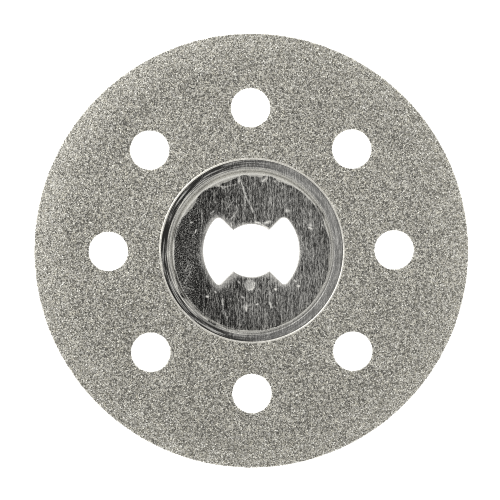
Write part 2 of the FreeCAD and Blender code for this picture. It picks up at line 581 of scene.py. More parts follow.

# %% [markdown]
# The colours of each piece can be painted onto a square picture, and a map says which part of the picture
# each face takes. Blender's own map gives every face the same room, and most of the room would go to steel
# that the nickel hides. The blank gets a map of its own: four round views on one square, the hub from above,
# large, the hub from below, and the ring's two hidden faces, small.
# A view from above leaves an upright wall no width. So the wall of the opening is drawn leaning
# inwards, in the hole that the first view leaves empty, and the ring's walls lean inwards too.

# %% The blank's map
hub_view = ((0.36, 0.36), 0.355, back_edge_radius)
boss_view = ((0.775, 0.775), 0.22, back_edge_radius)
ring_front_view = ((0.865, 0.135), 0.13, blank_radius)
ring_back_view = ((0.135, 0.865), 0.13, blank_radius)
steepest_seen = 0.2
wall_lean = 0.6
ring_lean = 0.1


def numbers_of(items, name, width=1, kind=np.float32):
    """One number, or one row of numbers, of every item: its points' places or its faces' normals."""
    found = np.empty(len(items) * width, dtype=kind)
    items.foreach_get(name, found)
    return found.reshape(-1, width) if width > 1 else found


def in_view(flat, middle, half, reach):
    """A round view: place = middle + half * (x, y) / reach."""
    return np.array(middle) + half * flat / reach


def blank_map(mesh):
    """Each face corner's place, in the view that its face belongs to by its slope and its middle."""
    points = numbers_of(mesh.vertices, "co", 3)[numbers_of(mesh.loops, "vertex_index", kind=np.int32)]
    face = np.repeat(np.arange(len(mesh.polygons)), numbers_of(mesh.polygons, "loop_total", kind=np.int32))
    up = numbers_of(mesh.polygons, "normal", 3)[face, 2]
    in_hub = np.linalg.norm(numbers_of(mesh.polygons, "center", 3)[face, :2], axis=1) < back_edge_radius
    flat, height = points[:, :2].astype(float), points[:, 2:]
    wall = in_hub & (np.abs(up) < steepest_seen)
    inwards = outline_normal[nearest_column(flat[wall])]
    flat[wall] -= wall_lean * (sheet - height[wall]) * inwards
    ring_wall = ~in_hub & (np.abs(up) < steepest_seen)
    flat[ring_wall] *= 1 - ring_lean * (ring_top - height[ring_wall]) / sheet
    places = in_view(flat, *hub_view)
    boss = in_hub & (up <= -steepest_seen)
    places[boss] = in_view(flat[boss], *boss_view)
    ring_front = ~in_hub & (up > -steepest_seen)
    places[ring_front] = in_view(flat[ring_front], *ring_front_view)
    ring_back = ~in_hub & (up <= -steepest_seen)
    places[ring_back] = in_view(flat[ring_back], *ring_back_view)
    return places


def give_map(mesh, places):
    """A map named OFBake, from one place (u, v) for each corner of each face."""
    layer = mesh.uv_layers.new(name="OFBake")
    layer.uv.foreach_set("vector", places.astype(np.float32).ravel())


print("the hub takes", round(100 * math.pi * hub_view[1] ** 2), "% of the blank's picture")

# %% [markdown]
# The blank is the five grids of the hub, the two sections of bend, wall and ledge, and the ring.
# Only the side that faces up is worn, and the two kinds of wear, the second with the dimple's painted
# highlight, go to it as numbers at its points.

# %% Make the steel
front_above = 0.6 * sheet
steel_vent = [(vent_radius + coating, ring_top), (vent_radius + coating, ring_underside)]
steel_rim = [(blank_radius, ring_top), (blank_radius, ring_underside)]
steel_mesh = sewn_mesh(
    "pressed_blank",
    hub_grids()
    + [ring_grid(front_section()), ring_grid(back_section())]
    + pierced_ring(steel_vent, steel_rim, back_edge_radius, back_edge_radius, 2),
)
steel_points = numbers_of(steel_mesh.vertices, "co", 3)
seen = steel_points[:, :2]
on_front = steel_points[:, 2] > front_above
point_attribute(steel_mesh, "rubbed", rubbed(seen) * on_front)
# the number scratched also carries the dimple's dull floor and its painted highlight
point_attribute(steel_mesh, "scratched", np.maximum(scratched(seen), dimple_shine(seen)) * on_front)
give_map(steel_mesh, blank_map(steel_mesh))
pressed_blank = place_piece(steel_mesh, "bare_steel", "steel_blank")

# %% [markdown]
# The coating is nickel, plated over both faces, the rim and the walls of the vents. It is a
# jacket: an outer skin, an inner skin that lies on the steel, and an edge that joins them round
# the hub. The outer skin lies a little under the construction's face, because that face is where
# the crystals' tips end.
# Plating builds up along the edge of the mask that kept the hub bare, so the jacket ends in a
# bright round bead. The mask didn't sit quite on the axis, so in front the bead lies further in
# on the left than on the right. The jacket is made on the axis, and then the points near its
# front edge are moved as the mask was.

# %% Make the nickel jacket
bond_face = 0.055 * MM
bond_side = 0.075 * MM
bond_round = 0.04 * MM
bead_radius = 0.085 * MM
mask_inset = 0.04 * MM
mask_middle = np.array([0.066, 0.0]) * MM
mask_reach = 3 * bead_radius


def rounded_side(at, out, top, bottom, rounding):
    """From face to face round a side: two quarter arcs. out is 1 for a rim and -1 for a hole."""
    middle = at - out * rounding
    upper = arc((middle, top - rounding), rounding, 90, 0, 3)
    lower = arc((middle, bottom + rounding), rounding, 0, -90, 3)
    side = np.concatenate([upper, lower])
    side[:, 0] = middle + out * (side[:, 0] - middle)
    return side


def moved_by_mask(grid):
    """Points near the front edge, moved inwards by the inset and then by the mask's middle."""
    flat, height = grid[..., :2], grid[..., 2:]
    radius = np.linalg.norm(flat, axis=-1, keepdims=True)
    in_front = height > (ring_top + ring_underside) / 2
    near = in_front & (radius < front_edge_radius + mask_reach)
    moved = flat * (1 - mask_inset / radius) + mask_middle
    return np.concatenate([np.where(near, moved, flat), height], axis=-1)


bond_top = coat_top - bond_face
bond_bottom = coat_bottom + bond_face
bead_foot = (front_edge_radius, ring_top)
bead_arc = arc((front_edge_radius + bead_radius, coat_top - bead_radius), bead_radius, 180, 30, 10)
bead_end = (front_edge_radius + 2 * bead_radius, bond_top)
front_bead = np.concatenate([[bead_foot], bead_arc, [bead_end]])
back_bead = front_bead * (1, -1) + (back_edge_radius - front_edge_radius, ring_top + ring_underside)
bond_rim = rounded_side(disc_radius - bond_side, 1, bond_top, bond_bottom, bond_round)
bond_vent = rounded_side(vent_radius + bond_side, -1, bond_top, bond_bottom, bond_round)

outer_skin = pierced_ring(bond_vent, bond_rim, front_bead[-1][0], back_bead[-1][0], 3)
inner_skin = pierced_ring(steel_vent, steel_rim, front_edge_radius, back_edge_radius, 2)
edges = [ring_grid(front_bead), ring_grid(back_bead)]
jacket = [moved_by_mask(grid) for grid in outer_skin + inner_skin + edges]
bond_mesh = sewn_mesh("nickel_bond", jacket)
nickel_bond = place_piece(bond_mesh, "diamond_grit", "diamond_coating")

# %% [markdown]
# Diamond grit is grown, so its grains are small crystals with flat faces, and each lies in the
# nickel at its own angle. A bump pattern would look right from above and dead from the side, so
# every grain here is a solid of its own. There are over a hundred thousand, so a grain has as few
# faces as it can: two pyramids base to base on a triangle, which is five corners and six faces,
# stretched, bent and turned at random.
# They are set out on a grid of triangles with each point moved a little, which packs them as
# evenly as plating does, and their tips are cut off level at the construction's face, as they are
# when the disc is dressed.
# Each crystal also gets a place on the colour map, which is the view from above. A crystal has one shade all
# over, so its upper and lower faces may share that place.

# %% How crystals are made
crystal_spacing = 0.128 * MM
crystal_reach = 0.092 * MM
crystal_sink = 0.014 * MM
sink_spread = 0.014 * MM
least_stretch = 0.72
most_stretch = 1.15
corner_unevenness = 0.1
spot_spread = 0.17 * crystal_spacing
crystal_corners = np.array([(1, 0, 0), (-0.5, 0.87, 0), (-0.5, -0.87, 0), (0, 0, 1), (0, 0, -1)])
crystal_faces = np.array([(0, 1, 3), (1, 2, 3), (2, 0, 3), (1, 0, 4), (2, 1, 4), (0, 2, 4)])
rim_glow_start = 15.5 * MM
rim_glow_width = 3.3 * MM
rim_glow = 0.2
chance = np.random.default_rng(38)


def random_turns(count):
    """Turn matrices spread evenly over all directions, from random unit quaternions."""
    q = chance.normal(size=(count, 4))
    w, x, y, z = (q / np.linalg.norm(q, axis=1)[:, None]).T
    rows = [
        (1 - 2 * (y * y + z * z), 2 * (x * y - z * w), 2 * (x * z + y * w)),
        (2 * (x * y + z * w), 1 - 2 * (x * x + z * z), 2 * (y * z - x * w)),
        (2 * (x * z - y * w), 2 * (y * z + x * w), 1 - 2 * (x * x + y * y)),
    ]
    return np.moveaxis(np.array(rows), 2, 0)


def kept_in_coating(points):
    """Cuts points back to the coating's outside: its two faces, its rim and the vents' openings."""
    flat = points[..., :2]
    flat = flat * np.minimum(1, disc_radius / np.linalg.norm(flat, axis=-1, keepdims=True))
    nearest = np.round(np.arctan2(flat[..., 1], flat[..., 0]) * vent_count / (2 * np.pi)).astype(int)
    centre = vent_centres[nearest % vent_count]
    away = flat - centre
    distance = np.linalg.norm(away, axis=-1, keepdims=True)
    flat = centre + away * np.maximum(1, vent_radius / distance)
    height = np.clip(points[..., 2:], coat_bottom, coat_top)
    return np.concatenate([flat, height], axis=-1)


def crystal_mesh(name, centres, map_of):
    """Corner k of crystal n is centre n + turn n (stretch n * (corner k + a little noise)).

    It is cut back to the coating. map_of gives every corner of every crystal its place on the colour map.
    """
    count = len(centres)
    stretch = crystal_reach * chance.uniform(least_stretch, most_stretch, (count, 1, 3))
    unevenness = chance.normal(0, corner_unevenness, (count, len(crystal_corners), 3))
    corners = stretch * (crystal_corners + unevenness)
    corners = np.einsum("nij,nkj->nki", random_turns(count), corners)
    points = kept_in_coating(centres[:, None, :] + corners)
    faces = crystal_faces[None] + len(crystal_corners) * np.arange(count)[:, None, None]
    mesh = mesh_of(name, points.reshape(-1, 3), faces.reshape(-1, 3))
    mesh.shade_flat()
    near_rim = np.clip((np.linalg.norm(centres[:, :2], axis=1) - rim_glow_start) / rim_glow_width, 0, 1)
    shades = np.clip(chance.uniform(0, 1, count) + rim_glow * near_rim, 0, 1)
    point_attribute(mesh, "shade", np.repeat(shades, len(crystal_corners)))
    give_map(mesh, map_of(points, centres).reshape(-1, 2)[faces.ravel()])
    return mesh


def map_from_above(reach):
    """A map that is the view from above: place = 0.5 + 0.49 * (x, y) / reach."""
    return lambda points, centres: 0.5 + 0.49 * points[..., :2] / reach


print("one crystal has", len(crystal_faces), "faces")

# %% [markdown]
# Each face of the ring carries tens of thousands of crystals. In one piece they would be more
# triangles than an exported piece keeps, so each face has two: an inner ring and an outer one.

# %% Crystals on the two faces
split_radius = 15.0 * MM
edge_margin = 0.06 * MM
grid_margin = 1.2


def face_spots(inner, outer, inner_middle):
    """Places on a face: a triangular grid moved at random, kept between two circles and off the vents."""
    reach = int(disc_radius / crystal_spacing * grid_margin)
    i, j = np.meshgrid(np.arange(-reach, reach), np.arange(-reach, reach), indexing="ij")
    x = (i + 0.5 * (j % 2)) * crystal_spacing
    y = j * crystal_spacing * math.sqrt(3) / 2
    spots = np.stack([x.ravel(), y.ravel()], axis=1)
    spots += chance.normal(0, spot_spread, spots.shape)
    past_inner = np.linalg.norm(spots - inner_middle, axis=1) > inner
    before_outer = np.linalg.norm(spots, axis=1) < outer
    to_vents = np.linalg.norm(spots[:, None, :] - vent_centres[None], axis=2).min(axis=1)
    return spots[past_inner & before_outer & (to_vents > vent_radius + edge_margin)]


def face_crystals(name, inner, outer, height, upwards, inner_middle=(0.0, 0.0)):
    """Crystals bedded in one face. upwards is 1 for the front and -1 for the back."""
    spots = face_spots(inner, outer, inner_middle)
    sink = chance.normal(crystal_sink, sink_spread, (len(spots), 1))
    centres = np.concatenate([spots, height - upwards * sink], axis=1)
    mesh = crystal_mesh(name, centres, map_from_above(outer + crystal_reach))
    return place_piece(mesh, "diamond_grit", "diamond_coating")


front_start = front_bead[-1][0] - mask_inset + edge_margin / 2
back_start = back_bead[-1][0] + edge_margin / 2
face_end = disc_radius - edge_margin
grit = [
    face_crystals("front_grit_inner", front_start, split_radius, bond_top, 1, mask_middle),
    face_crystals("front_grit_outer", split_radius, face_end, bond_top, 1),
    face_crystals("back_grit_inner", back_start, split_radius, bond_bottom, -1),
    face_crystals("back_grit_outer", split_radius, face_end, bond_bottom, -1),
]

# %% [markdown]
# The rim and the vents are upright walls, so their crystals stand on rows of a cylinder. Their map
# is a stack of strips: eight for the eighths of the rim and one for each vent, unrolled.

# %% Crystals on the rim and in the vents
strip_ends = 0.01
strip_gap = 0.05
row_spacing = 0.85 * crystal_spacing
row_spread = 0.12 * crystal_spacing
wall_spread = 0.02 * MM


def wall_map(points, centres):
    """Strip k holds an eighth of the rim, strip 8 + k holds vent k: u goes round and v goes up."""
    rim = np.linalg.norm(centres[:, :2], axis=1) > vent_circle_radius + vent_radius + 2 * coating
    heading = np.arctan2(centres[:, 1], centres[:, 0])
    eighth = np.floor((heading / (2 * np.pi) + 0.5) * vent_count).astype(int) % vent_count
    vent = np.round(heading * vent_count / (2 * np.pi)).astype(int) % vent_count
    hub = np.where(rim[:, None], 0.0, vent_centres[vent])
    away = points[..., :2] - hub[:, None, :]
    own = centres[:, :2] - hub
    own_angle = np.arctan2(own[:, 1], own[:, 0])[:, None]
    swing = (np.arctan2(away[..., 1], away[..., 0]) - own_angle + np.pi) % (2 * np.pi) - np.pi
    part = (own_angle + swing) / (2 * np.pi) + 0.5
    part = np.where(rim[:, None], part * vent_count - eighth[:, None], part)
    strip = np.where(rim, eighth, vent_count + vent)[:, None]
    rise = (points[..., 2] - coat_bottom) / (coat_top - coat_bottom)
    across = strip_ends + (1 - 2 * strip_ends) * part
    upwards = (strip + strip_gap + (1 - 2 * strip_gap) * rise) / (2 * vent_count)
    return np.stack([across, upwards], axis=-1)


def wall_spots(radius, centre):
    """Places on an upright round wall: rows of points at even angles, each moved at random."""
    lowest = coat_bottom + crystal_spacing / 3
    highest = coat_top - crystal_spacing / 4
    rows = np.arange(lowest, highest, row_spacing)
    count = int(2 * np.pi * radius / crystal_spacing)
    angle = 2 * np.pi * (np.arange(count)[None, :] + 0.5 * (np.arange(len(rows))[:, None] % 2)) / count
    angle = angle + chance.normal(0, spot_spread / crystal_spacing * 2 * np.pi / count, angle.shape)
    height = rows[:, None] + chance.normal(0, row_spread, angle.shape)
    radius = radius + chance.normal(0, wall_spread, angle.shape)
    spots = [centre[0] + radius * np.cos(angle), centre[1] + radius * np.sin(angle), height]
    return np.stack(spots, axis=-1).reshape(-1, 3)


edge_spots = [wall_spots(disc_radius - bond_side - crystal_sink, (0, 0))]
edge_spots += [wall_spots(vent_radius + bond_side + crystal_sink, centre) for centre in vent_centres]
edge_mesh = crystal_mesh("edge_grit", np.concatenate(edge_spots), wall_map)
grit.append(place_piece(edge_mesh, "diamond_grit", "diamond_coating"))

# %% [markdown]
# A material is a small network of nodes. It can be drawn by hand in the shader editor, but here it
# is written out, and a few short helpers keep it readable: one makes a node and fills or joins its
# inputs, and the others do arithmetic, blend two colours or numbers, step smoothly, or make noise.

# %% Helpers for materials


def node(tree, kind, inputs=None, **settings):
    """A new node. Each input is given by name or number, as a plain value or another node's socket."""
    made = tree.nodes.new(kind)
    for name, value in settings.items():
        setattr(made, name, value)
    for name, value in (inputs or {}).items():
        if isinstance(value, bpy.types.NodeSocket):
            tree.links.new(value, made.inputs[name])
        else:
            made.inputs[name].default_value = value
    return made


def sum_of(tree, operation, *values, clamp=False):
    """The result of one step of arithmetic on one to three values."""
    made = node(tree, "ShaderNodeMath", dict(enumerate(values)), operation=operation, use_clamp=clamp)
    return made.outputs[0]


def blend(tree, share, first, second):
    """A colour between two, by share."""
    return node(tree, "ShaderNodeMix", {0: share, 6: first, 7: second}, data_type="RGBA").outputs[2]


def mixed(tree, share, first, second):
    """A number between two, by share."""
    return node(tree, "ShaderNodeMix", {"Factor": share, "A": first, "B": second}).outputs[0]


def between(tree, value, low, high, at_low=0.0, at_high=1.0):
    """A smooth step: at_low where value is under low, at_high where it is over high."""
    inputs = {"Value": value, "From Min": low, "From Max": high, "To Min": at_low, "To Max": at_high}
    return node(tree, "ShaderNodeMapRange", inputs, interpolation_type="SMOOTHSTEP").outputs[0]


def noise(tree, vector, scale, detail=2.0, roughness=0.5):
    """Smooth noise from 0 to 1."""
    inputs = {"Vector": vector, "Scale": scale, "Detail": detail, "Roughness": roughness}
    return node(tree, "ShaderNodeTexNoise", inputs).outputs[0]


def new_finish(name):
    """A material with an empty network: the material, its tree and its one shader."""
    material = bpy.data.materials.new(name)
    material.use_nodes = True
    tree = material.node_tree
    tree.nodes.clear()
    shader = node(tree, "ShaderNodeBsdfPrincipled")
    node(tree, "ShaderNodeOutputMaterial", {"Surface": shader.outputs[0]})
    return material, tree, shader


def feed(tree, shader, **inputs):
    """Joins or sets inputs of the shader. An underscore stands for a space in an input's name."""
    for name, value in inputs.items():
        socket = shader.inputs[name.replace("_", " ")]
        if isinstance(value, bpy.types.NodeSocket):
            tree.links.new(value, socket)
        else:
            socket.default_value = value


print("helpers ready")

# %% [markdown]
# Brushed steel is a mirror ruled with fine lines, all one way. They could be cut into the mesh,
# but they are finer than any mesh worth its size, so they are noise that is squeezed across the
# brushing and drawn out along it, in long strokes and short ones. Two sets of scuffs lean across
# them and show only here and there. On the left a fine peck has worn most of the lines away.

# %% Steel: its brushed lines
brush_width = 0.034 * MM
short_stroke = 0.3 * MM
long_stroke = 1.8 * MM
long_share = 0.45
line_detail = 2.0
line_roughness = 0.6
peck_size = 1.6 * brush_width
peck_border = (-5.6 * MM, -3.6 * MM)
most_pecked = 0.75
least_pecked = 0.2
scuff_width = 1.3 * brush_width
scuff_sets = ((24.0, 0.62, 0.72), (-31.0, 0.64, 0.74))
scuffed_blotches = (0.45, 0.7)


def strokes(tree, place, width, length, lean_deg=0.0):
    """Noise drawn out into strokes of this width and length, leaning this far from the Y axis."""
    lean = node(tree, "ShaderNodeMapping", {"Vector": place, "Rotation": (0, 0, math.radians(lean_deg))})
    squeeze = {"Vector": lean.outputs[0], "Scale": (1 / width, 1 / length, 1 / length)}
    return noise(tree, node(tree, "ShaderNodeMapping", squeeze).outputs[0], 1.0, line_detail, line_roughness)


def brushed(tree, place, short_lines, across):
    """A share of long strokes and the rest short ones, and then a share of fine peck over both."""
    long_lines = sum_of(tree, "MULTIPLY", strokes(tree, place, brush_width, long_stroke), long_share)
    lines = sum_of(tree, "MULTIPLY_ADD", short_lines, 1 - long_share, long_lines)
    peck = noise(tree, place, 1 / peck_size, line_detail, line_roughness)
    pecked = between(tree, across, *peck_border, most_pecked, least_pecked)
    return mixed(tree, pecked, lines, peck)


def scuffs(tree, place, blotch):
    """The crests of strokes that lean to both sides of the brushing, where the blotches are high.

    Each set is its lean in degrees, and the noise at which a crest starts and at which it is full.
    """
    crests = []
    for lean_deg, start, full in scuff_sets:
        leaning = strokes(tree, place, scuff_width, long_stroke, lean_deg)
        crests.append(between(tree, leaning, start, full))
    both = sum_of(tree, "MAXIMUM", *crests)
    return sum_of(tree, "MULTIPLY", both, between(tree, blotch, *scuffed_blotches))


print("a line is", brush_width / MM, "mm wide")

# %% [markdown]
# The bend was stretched by the press, so it lost its lines and went dull and pale. Its inner border wanders,
# because the sheet didn't slip evenly, so the border is an oval whose radius has slow noise added to it. At
# the lower right, where the bend is tight, the band is painted darker: painted shade of the tight bend.
# The ledge outside the mouth was scraped while the disc turned, so its lines run round the axis.

# %% Steel: its band and its scraped rings
band_middle = (0.067 * MM, -0.248 * MM, 0.0)
band_inner_radius = 6.825 * MM
band_oval = (0.99, 1.0, 0.0)
band_wander = 1.4 * MM
band_wander_scale = 0.45 / MM
band_soft = 0.04 * MM
band_end_height = (1.33 * MM, 1.37 * MM)
scrape_length = 2.5 * MM
scrape_pitch = 0.1 * MM


def axis_distance(tree, place, middle=(0.0, 0.0, 0.0), oval=(1.0, 1.0, 0.0)):
    """The distance from an upright line through this middle: the length of (x, y), or of an oval's."""
    away = node(tree, "ShaderNodeVectorMath", {0: place, 1: middle}, operation="SUBTRACT")
    flat = node(tree, "ShaderNodeVectorMath", {0: away.outputs[0], 1: oval}, operation="MULTIPLY")
    return node(tree, "ShaderNodeVectorMath", {0: flat.outputs[0]}, operation="LENGTH").outputs["Value"]


def pressed_band(tree, place, height):
    """1 on the band and 0 off it: it lies outside a wandering oval and ends under the ledge."""
    wander = sum_of(tree, "SUBTRACT", noise(tree, place, band_wander_scale, 3.0), 0.5)
    radius = axis_distance(tree, place, band_middle, band_oval)
    radius = sum_of(tree, "MULTIPLY_ADD", wander, band_wander, radius)
    outside = between(tree, radius, band_inner_radius - band_soft, band_inner_radius + band_soft)
    return sum_of(tree, "MULTIPLY", outside, between(tree, height, *band_end_height, 1.0, 0.0))


def rings(tree, place, radius):
    """Noise drawn out round the axis: it changes fast with the radius and slowly along a circle."""
    spread = node(tree, "ShaderNodeVectorMath", {0: place, "Scale": 1 / scrape_length}, operation="SCALE")
    fast = node(tree, "ShaderNodeCombineXYZ", {"Z": sum_of(tree, "MULTIPLY", radius, 1 / scrape_pitch)})
    both = node(tree, "ShaderNodeVectorMath", {0: spread.outputs[0], 1: fast.outputs[0]}, operation="ADD")
    return noise(tree, both.outputs[0], 1.0, 1.0)


print("the band starts", round(band_inner_radius / MM, 2), "mm from its middle, give or take its wander")

# %% [markdown]
# The press's fine steps show as thin lines, because steel mirrors its surroundings. The dark lines in their
# grooves are painted shade, the bright lines on their ridges are painted highlights, and a dark ring at the
# foot of the bead is painted shadow. Each is a soft ring: its middle radius and its half width are given as
# a pair. The outer groove and the left ridge follow the step's outer edge, and the painted shadow at the
# bead's foot follows the mask. The right side of the disc and the left don't look alike, partly from wear
# and partly from painted light and shade. Where a share changes from one to the other it is a pair too, the
# right side's first.

# %% Steel: painted shade in its grooves and painted highlights on its ridges
inner_groove = (6.97 * MM, 0.035 * MM)
outer_groove = (7.23 * MM, 0.03 * MM)
# painted shadow: a dark ring at the foot of the bead
painted_foot_shadow = (7.9 * MM, 0.05 * MM)
first_ridge = (7.09 * MM, 0.04 * MM)
left_ridge = (7.3 * MM, 0.05 * MM)
groove_blotches = (0.35, 0.55)
groove_range = (0.35, 0.8)
# how strong the painted shadow at the bead's foot is, right side first
foot_shadow_share = (0.45, 0.1)
ridge_scrapes = (0.42, 0.5)


def ring_line(tree, radius, middle, half_width):
    """A soft line round the axis: 1 at its middle radius, falling to 0 at the half width."""
    off = sum_of(tree, "ABSOLUTE", sum_of(tree, "SUBTRACT", radius, middle))
    return between(tree, off, 0.0, half_width, 1.0, 0.0)


def dark_rings(tree, place, radius, coin_radius, blotch, to_left):
    """Painted shade in the two grooves of the press, broken up by the blotches, and painted shadow at the
    plating's foot.
    """
    grooves = [ring_line(tree, radius, *inner_groove), ring_line(tree, coin_radius, *outer_groove)]
    grooves = sum_of(tree, "MAXIMUM", *grooves)
    grooves = sum_of(tree, "MULTIPLY", grooves, between(tree, blotch, *groove_blotches, *groove_range))
    foot_shadow = ring_line(tree, axis_distance(tree, place, (*mask_middle, 0.0)), *painted_foot_shadow)
    foot_shadow = sum_of(tree, "MULTIPLY", foot_shadow, mixed(tree, to_left, *foot_shadow_share))
    return sum_of(tree, "MAXIMUM", grooves, foot_shadow)


def bright_left_ridge(tree, coin_radius, scraped, to_left):
    """A painted highlight on the second ridge, only on the left and only where the scraping left it."""
    ridge = sum_of(tree, "MULTIPLY", ring_line(tree, coin_radius, *left_ridge), to_left)
    return sum_of(tree, "MULTIPLY", ridge, between(tree, scraped, *ridge_scrapes))


print("the bead's foot lies", round(painted_foot_shadow[0] / MM, 2), "mm from the mask's middle")

# %% [markdown]
# The finish is laid down in the order in which the real one came about: brushing and grime first, then what
# the press did to it, then what use did. Some layers are painted light and shade rather than the steel's own
# colour: the lines along the press's steps, the shadow at the bead's foot, the darker left side, the lighter
# right of the ledge, the darker tight bend and a highlight on the dimple's edge. Each layer is blended over
# the last by its own share. The lines also go into the height, so that they tilt the mirror, and wear makes
# the steel rougher, because grime and scratches scatter light.

# %% Steel: its colours and its wear
dirty_steel = (0.08, 0.078, 0.073, 1)
clean_steel = (0.84, 0.83, 0.79, 1)
speck_colour = (0.9, 0.89, 0.85, 1)
ledge_colour = (0.76, 0.75, 0.72, 1)
band_dark = (0.62, 0.61, 0.57, 1)
band_pale = (0.94, 0.93, 0.88, 1)
# painted shade for the tight bend at the lower right
band_tight_shade = (0.3, 0.295, 0.275, 1)
# painted shade for the dark lines along the press's steps
painted_groove_shade = (0.06, 0.058, 0.055, 1)
# painted highlight for the bright lines along the press's steps
painted_ridge_highlight = (0.97, 0.96, 0.92, 1)
rubbed_colour = (0.66, 0.65, 0.62, 1)
# scratches, and the painted highlight on the dimple's edge
scratch_and_highlight_colour = (0.98, 0.97, 0.93, 1)
line_depth = 0.012 * MM
tight_way = (0.77, -0.64, 0.0)
tight_border = (1.0 * MM, 7.5 * MM)
tight_most = 0.8
blotch_lift = 0.07
# painted shade: lowers the clean share on the left, so the left side of the steel is darker
left_painted_shade = -0.035
clean_crest = (0.467, 0.635)
scuff_lift = 0.5
wear_blotches = (0.3, 0.6)
wear_range = (0.6, 1.0)


def band_colour(tree, place, short_lines):
    """Pale with faint lines, and darker with painted shade the larger place . tight_way grows, to the lower
    right.
    """
    reach = node(tree, "ShaderNodeVectorMath", {0: place, 1: tight_way}, operation="DOT_PRODUCT")
    tight = between(tree, reach.outputs["Value"], *tight_border, 0.0, tight_most)
    return blend(tree, tight, blend(tree, short_lines, band_dark, band_pale), band_tight_shade)


def clean_share(tree, ruled, blotch, scuffed, to_left):
    """How clean the metal is: the crests of its lines and its scuffs are clean. On the left the share is
    lowered, a painted shade that darkens the left side.
    """
    clean = sum_of(tree, "MULTIPLY_ADD", blotch, blotch_lift, ruled)
    clean = between(tree, sum_of(tree, "MULTIPLY_ADD", to_left, left_painted_shade, clean), *clean_crest)
    return sum_of(tree, "MULTIPLY_ADD", scuffed, scuff_lift, clean, clamp=True)


def wear_and_highlight_shares(tree, blotch):
    """The two numbers that the points carry, the rubbed wear and the scratches with the dimple's painted
    highlight, each a little fainter where the blotches are low.
    """
    whole = between(tree, blotch, *wear_blotches, *wear_range)
    worn = [node(tree, "ShaderNodeAttribute", attribute_name=name) for name in ("rubbed", "scratched")]
    return [sum_of(tree, "MULTIPLY", kind.outputs["Fac"], whole) for kind in worn]


print("clean steel is", round(clean_steel[0] / dirty_steel[0], 1), "times as bright as dirty steel")

# %% [markdown]
# The last step joins the layers, one blend for each. The height takes its lines from the brushing
# and the scraping, but hardly any where the band is dull, and the scuffs are cut into it.

# %% Steel: all its layers
left_border = (-6.5 * MM, 2.0 * MM)
blotch_scale = 0.7 / MM
turned_border = (7.1 * MM, 7.25 * MM)
turned_share = (0.2, 0.85)
speck_scale = 7 / MM
speck_crest = (0.7, 0.76)
ledge_height = (1.37 * MM, 1.39 * MM)
# the ledge's own paler tone, laid on more on the right: partly its finish, partly painted light on the right
# side
ledge_tone_and_right_light = (0.6, 0.35)
first_ridge_share = 0.7
rubbed_scatter = 0.6
smooth_roughness = 0.2
lined_roughness = 0.5
band_roughness = 0.25
wear_roughness = 0.55
band_relief = 0.15
scuff_relief = -0.2


def steel_roughness(tree, clean, dull, scattered):
    """From smooth to lined by how clean it is, and then the band and the wear each add theirs."""
    rough = mixed(tree, clean, smooth_roughness, lined_roughness)
    rough = sum_of(tree, "MULTIPLY_ADD", dull, band_roughness, rough)
    return sum_of(tree, "MULTIPLY_ADD", scattered, wear_roughness, rough, clamp=True)


def steel_finish():
    """Worn brushed steel: lines along Y, a dull band at the bend, rings on the ledge, and scratches."""
    material, tree, shader = new_finish("brushed_steel")
    place = node(tree, "ShaderNodeTexCoord").outputs["Object"]
    across, _, height = node(tree, "ShaderNodeSeparateXYZ", {"Vector": place}).outputs
    radius = axis_distance(tree, place)
    coin_radius = axis_distance(tree, place, (*coin_middle, 0.0))
    to_left = between(tree, across, *left_border, 1.0, 0.0)
    blotch = noise(tree, place, blotch_scale, 4.0, 0.6)
    short_lines = strokes(tree, place, brush_width, short_stroke)
    scuffed = scuffs(tree, place, blotch)
    scraped = rings(tree, place, radius)
    dull = pressed_band(tree, place, height)

    turned = between(tree, radius, *turned_border)
    turned = sum_of(tree, "MULTIPLY", turned, mixed(tree, to_left, *turned_share))
    ruled = mixed(tree, turned, brushed(tree, place, short_lines, across), scraped)
    clean = clean_share(tree, ruled, blotch, scuffed, to_left)
    colour = blend(tree, clean, dirty_steel, clean_steel)
    speck = between(tree, noise(tree, place, speck_scale, 2.0, 0.7), *speck_crest)
    colour = blend(tree, speck, colour, speck_colour)

    # the ledge's tone, with painted light on its right side
    ledge = between(tree, height, *ledge_height)
    ledge = sum_of(tree, "MULTIPLY", ledge, mixed(tree, to_left, *ledge_tone_and_right_light))
    colour = blend(tree, ledge, colour, ledge_colour)
    colour = blend(tree, dull, colour, band_colour(tree, place, short_lines))
    dark = dark_rings(tree, place, radius, coin_radius, blotch, to_left)
    # painted shade along the steps and painted shadow at the bead's foot
    colour = blend(tree, dark, colour, painted_groove_shade)
    # painted highlights on the ridges of the steps
    left_shine = bright_left_ridge(tree, coin_radius, scraped, to_left)
    shine = sum_of(tree, "MULTIPLY", ring_line(tree, radius, *first_ridge), first_ridge_share)
    colour = blend(tree, sum_of(tree, "MAXIMUM", shine, left_shine), colour, painted_ridge_highlight)

    rubbed_share, scratch_and_highlight_share = wear_and_highlight_shares(tree, blotch)
    colour = blend(tree, rubbed_share, colour, rubbed_colour)
    # scratches and the dimple's painted highlight
    colour = blend(tree, scratch_and_highlight_share, colour, scratch_and_highlight_colour)

    scattered = sum_of(tree, "MULTIPLY", rubbed_share, rubbed_scatter)
    for share in (scratch_and_highlight_share, left_shine):
        scattered = sum_of(tree, "MAXIMUM", scattered, share)
    rough = steel_roughness(tree, clean, dull, scattered)
    relief = sum_of(tree, "MULTIPLY", ruled, mixed(tree, dull, 1.0, band_relief))
    relief = sum_of(tree, "MULTIPLY_ADD", scuffed, scuff_relief, relief)
    bump = node(tree, "ShaderNodeBump", {"Height": relief, "Strength": 1.0, "Distance": line_depth})
    feed(tree, shader, Base_Color=colour, Roughness=rough, Normal=bump.outputs[0], Metallic=1.0)
    return material


pressed_blank.data.materials.append(steel_finish())
print("the steel has", len(pressed_blank.data.materials[0].node_tree.nodes), "nodes")

